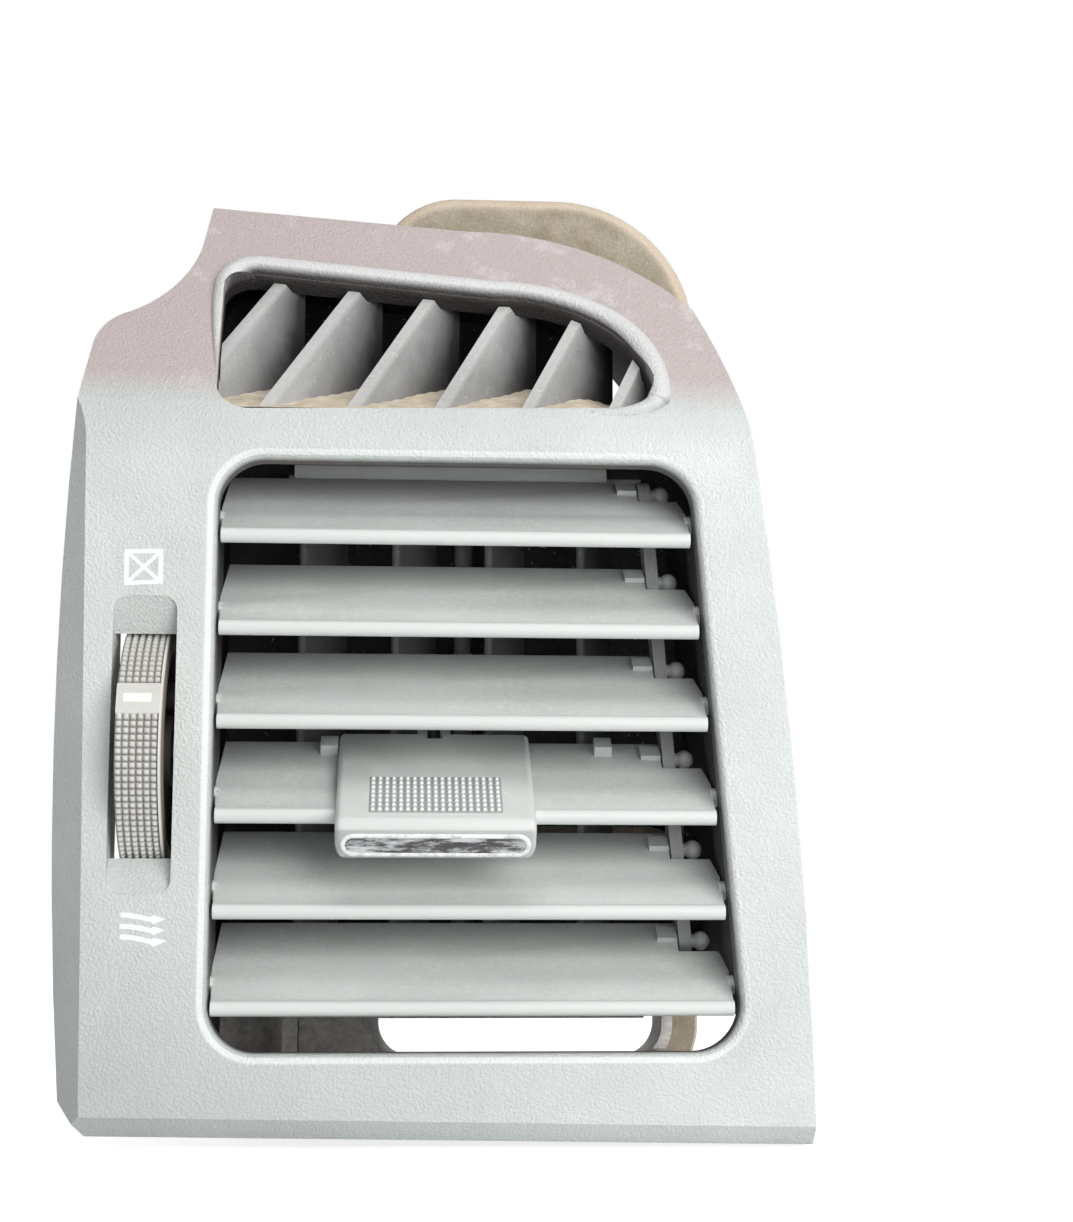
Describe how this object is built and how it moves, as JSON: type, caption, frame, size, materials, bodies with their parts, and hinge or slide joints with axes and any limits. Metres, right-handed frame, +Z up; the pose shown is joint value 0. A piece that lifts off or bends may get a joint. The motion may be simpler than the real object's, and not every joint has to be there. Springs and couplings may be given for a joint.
{
  "type": "dashboard air vent",
  "caption": "Dashboard air vent with a moulded fascia, tilting louvres, upright vanes, a slide knob, a thumbwheel for the shut-off flap and a slanted demister grille.",
  "frame": {"origin": "centre of the four ear holes, on the front faces of the ears", "axes": "+X to the right seen from the front, +Y into the dashboard, +Z up"},
  "size_m": [0.0887, 0.0818, 0.1208],
  "materials": {
    "fascia": "fine leather grain",
    "louvre": "satin, dusty",
    "housing": "moulded, dusty",
    "link": "satin",
    "knob": "satin",
    "inlay": "bright frame with a dark middle",
    "pad": "matt",
    "wheel": "ribbed",
    "mark": "cream",
    "foam": "open foam",
    "grille": "dusty",
    "steel": "plain",
    "vane": "dusty"
  },
  "bodies": {
    "housing": {"fascia_panel": "fascia", "duct_housing": "housing", "inlet_collar": "housing", "shaft_bracket": "housing", "housing_screws": "steel", "inlet_seal": "foam", "demister_duct": "housing", "demister_seal": "foam", "demister_grille": "grille", "pivot_strip_left": "link", "pivot_strip_right": "link", "vane_bearing_top": "link", "vane_bearing_bottom": "link", "wheel_axle": "steel"},
    "louvre_body_1": {"louvre_1": "louvre"},
    "louvre_body_2": {"louvre_2": "louvre"},
    "louvre_body_3": {"louvre_3": "louvre"},
    "louvre_body_4": {"louvre_4": "louvre"},
    "louvre_body_5": {"louvre_5": "louvre"},
    "louvre_body_6": {"louvre_6": "louvre"},
    "louvre_bar": {"louvre_link": "link"},
    "knob": {"knob_shell": "knob", "knob_base": "knob", "knob_inlay": "inlay", "knob_pad": "pad"},
    "vane_body_1": {"vane_1": "vane"},
    "vane_body_2": {"vane_2": "vane"},
    "vane_body_3": {"vane_3": "vane"},
    "vane_body_4": {"vane_4": "vane"},
    "driver": {"vane_driver": "vane"},
    "vane_bar": {"vane_link": "link"},
    "wheel": {"thumbwheel": "wheel", "wheel_mark": "mark"},
    "damper": {"damper_flap": "housing", "damper_seal": "foam", "damper_lever": "link"},
    "damper_rod": {"damper_link": "link"}
  },
  "joints": [
    {"name": "louvre_4_tilt", "type": "hinge", "parent": "housing", "child": "louvre_body_4", "pos_m": [0, -0.02847, -0.00293], "axis": [-1, 0, 0], "range_deg": [0, 55]},
    {"name": "louvre_1_tilt", "type": "hinge", "parent": "housing", "child": "louvre_body_1", "pos_m": [0, -0.02847, 0.02977], "axis": [-1, 0, 0], "range_deg": [0, 55]},
    {"name": "louvre_2_tilt", "type": "hinge", "parent": "housing", "child": "louvre_body_2", "pos_m": [0, -0.02847, 0.01887], "axis": [-1, 0, 0], "range_deg": [0, 55]},
    {"name": "louvre_3_tilt", "type": "hinge", "parent": "housing", "child": "louvre_body_3", "pos_m": [0, -0.02847, 0.00797], "axis": [-1, 0, 0], "range_deg": [0, 55]},
    {"name": "louvre_5_tilt", "type": "hinge", "parent": "housing", "child": "louvre_body_5", "pos_m": [0, -0.02847, -0.01383], "axis": [-1, 0, 0], "range_deg": [0, 55]},
    {"name": "louvre_6_tilt", "type": "hinge", "parent": "housing", "child": "louvre_body_6", "pos_m": [0, -0.02847, -0.02473], "axis": [-1, 0, 0], "range_deg": [0, 55]},
    {"name": "louvre_bar_turn", "type": "hinge", "parent": "louvre_body_4", "child": "louvre_bar", "pos_m": [0, -0.02101, 0.0021], "axis": [-1, 0, 0], "range_deg": [-55, 0]},
    {"name": "knob_slide", "type": "slide", "parent": "louvre_body_4", "child": "knob", "axis": [1, 0, 0], "range_m": [0, 0.0078]},
    {"name": "vane_1_turn", "type": "hinge", "parent": "housing", "child": "vane_body_1", "pos_m": [-0.0173, -0.0045, 0], "axis": [0, 0, 1], "range_deg": [0, 45]},
    {"name": "vane_2_turn", "type": "hinge", "parent": "housing", "child": "vane_body_2", "pos_m": [-0.0056, -0.0045, 0], "axis": [0, 0, 1], "range_deg": [0, 45]},
    {"name": "vane_3_turn", "type": "hinge", "parent": "housing", "child": "vane_body_3", "pos_m": [0.0061, -0.0045, 0], "axis": [0, 0, 1], "range_deg": [0, 45]},
    {"name": "vane_4_turn", "type": "hinge", "parent": "housing", "child": "vane_body_4", "pos_m": [0.0178, -0.0045, 0], "axis": [0, 0, 1], "range_deg": [0, 45]},
    {"name": "driver_turn", "type": "hinge", "parent": "housing", "child": "driver", "pos_m": [0.00025, -0.0045, 0], "axis": [0, 0, 1], "range_deg": [0, 45]},
    {"name": "vane_bar_turn", "type": "hinge", "parent": "driver", "child": "vane_bar", "pos_m": [0.00128, -0.00168, 0], "axis": [0, 0, 1], "range_deg": [-45, 0]},
    {"name": "wheel_turn", "type": "hinge", "parent": "housing", "child": "wheel", "pos_m": [0, -0.0232, 0.0026], "axis": [1, 0, 0], "range_deg": [-45, 35]},
    {"name": "damper_turn", "type": "hinge", "parent": "housing", "child": "damper", "pos_m": [0, 0.024, -0.0171], "axis": [1, 0, 0], "range_deg": [-45, 35]},
    {"name": "damper_rod_turn", "type": "hinge", "parent": "wheel", "child": "damper_rod", "pos_m": [0, -0.02089, 0.00921], "axis": [1, 0, 0], "range_deg": [-35, 45]}
  ],
  "couplings": [
    {"joint": "louvre_1_tilt", "follows": "louvre_4_tilt", "ratio": 1},
    {"joint": "louvre_2_tilt", "follows": "louvre_4_tilt", "ratio": 1},
    {"joint": "louvre_3_tilt", "follows": "louvre_4_tilt", "ratio": 1},
    {"joint": "louvre_5_tilt", "follows": "louvre_4_tilt", "ratio": 1},
    {"joint": "louvre_6_tilt", "follows": "louvre_4_tilt", "ratio": 1},
    {"joint": "louvre_bar_turn", "follows": "louvre_4_tilt", "ratio": -1},
    {"joint": "vane_1_turn", "follows": "knob_slide", "rad_per_m": 100.69},
    {"joint": "vane_2_turn", "follows": "knob_slide", "rad_per_m": 100.69},
    {"joint": "vane_3_turn", "follows": "knob_slide", "rad_per_m": 100.69},
    {"joint": "vane_4_turn", "follows": "knob_slide", "rad_per_m": 100.69},
    {"joint": "driver_turn", "follows": "knob_slide", "rad_per_m": 100.69},
    {"joint": "vane_bar_turn", "follows": "knob_slide", "rad_per_m": -100.69},
    {"joint": "damper_turn", "follows": "wheel_turn", "ratio": 1},
    {"joint": "damper_rod_turn", "follows": "wheel_turn", "ratio": -1}
  ]
}
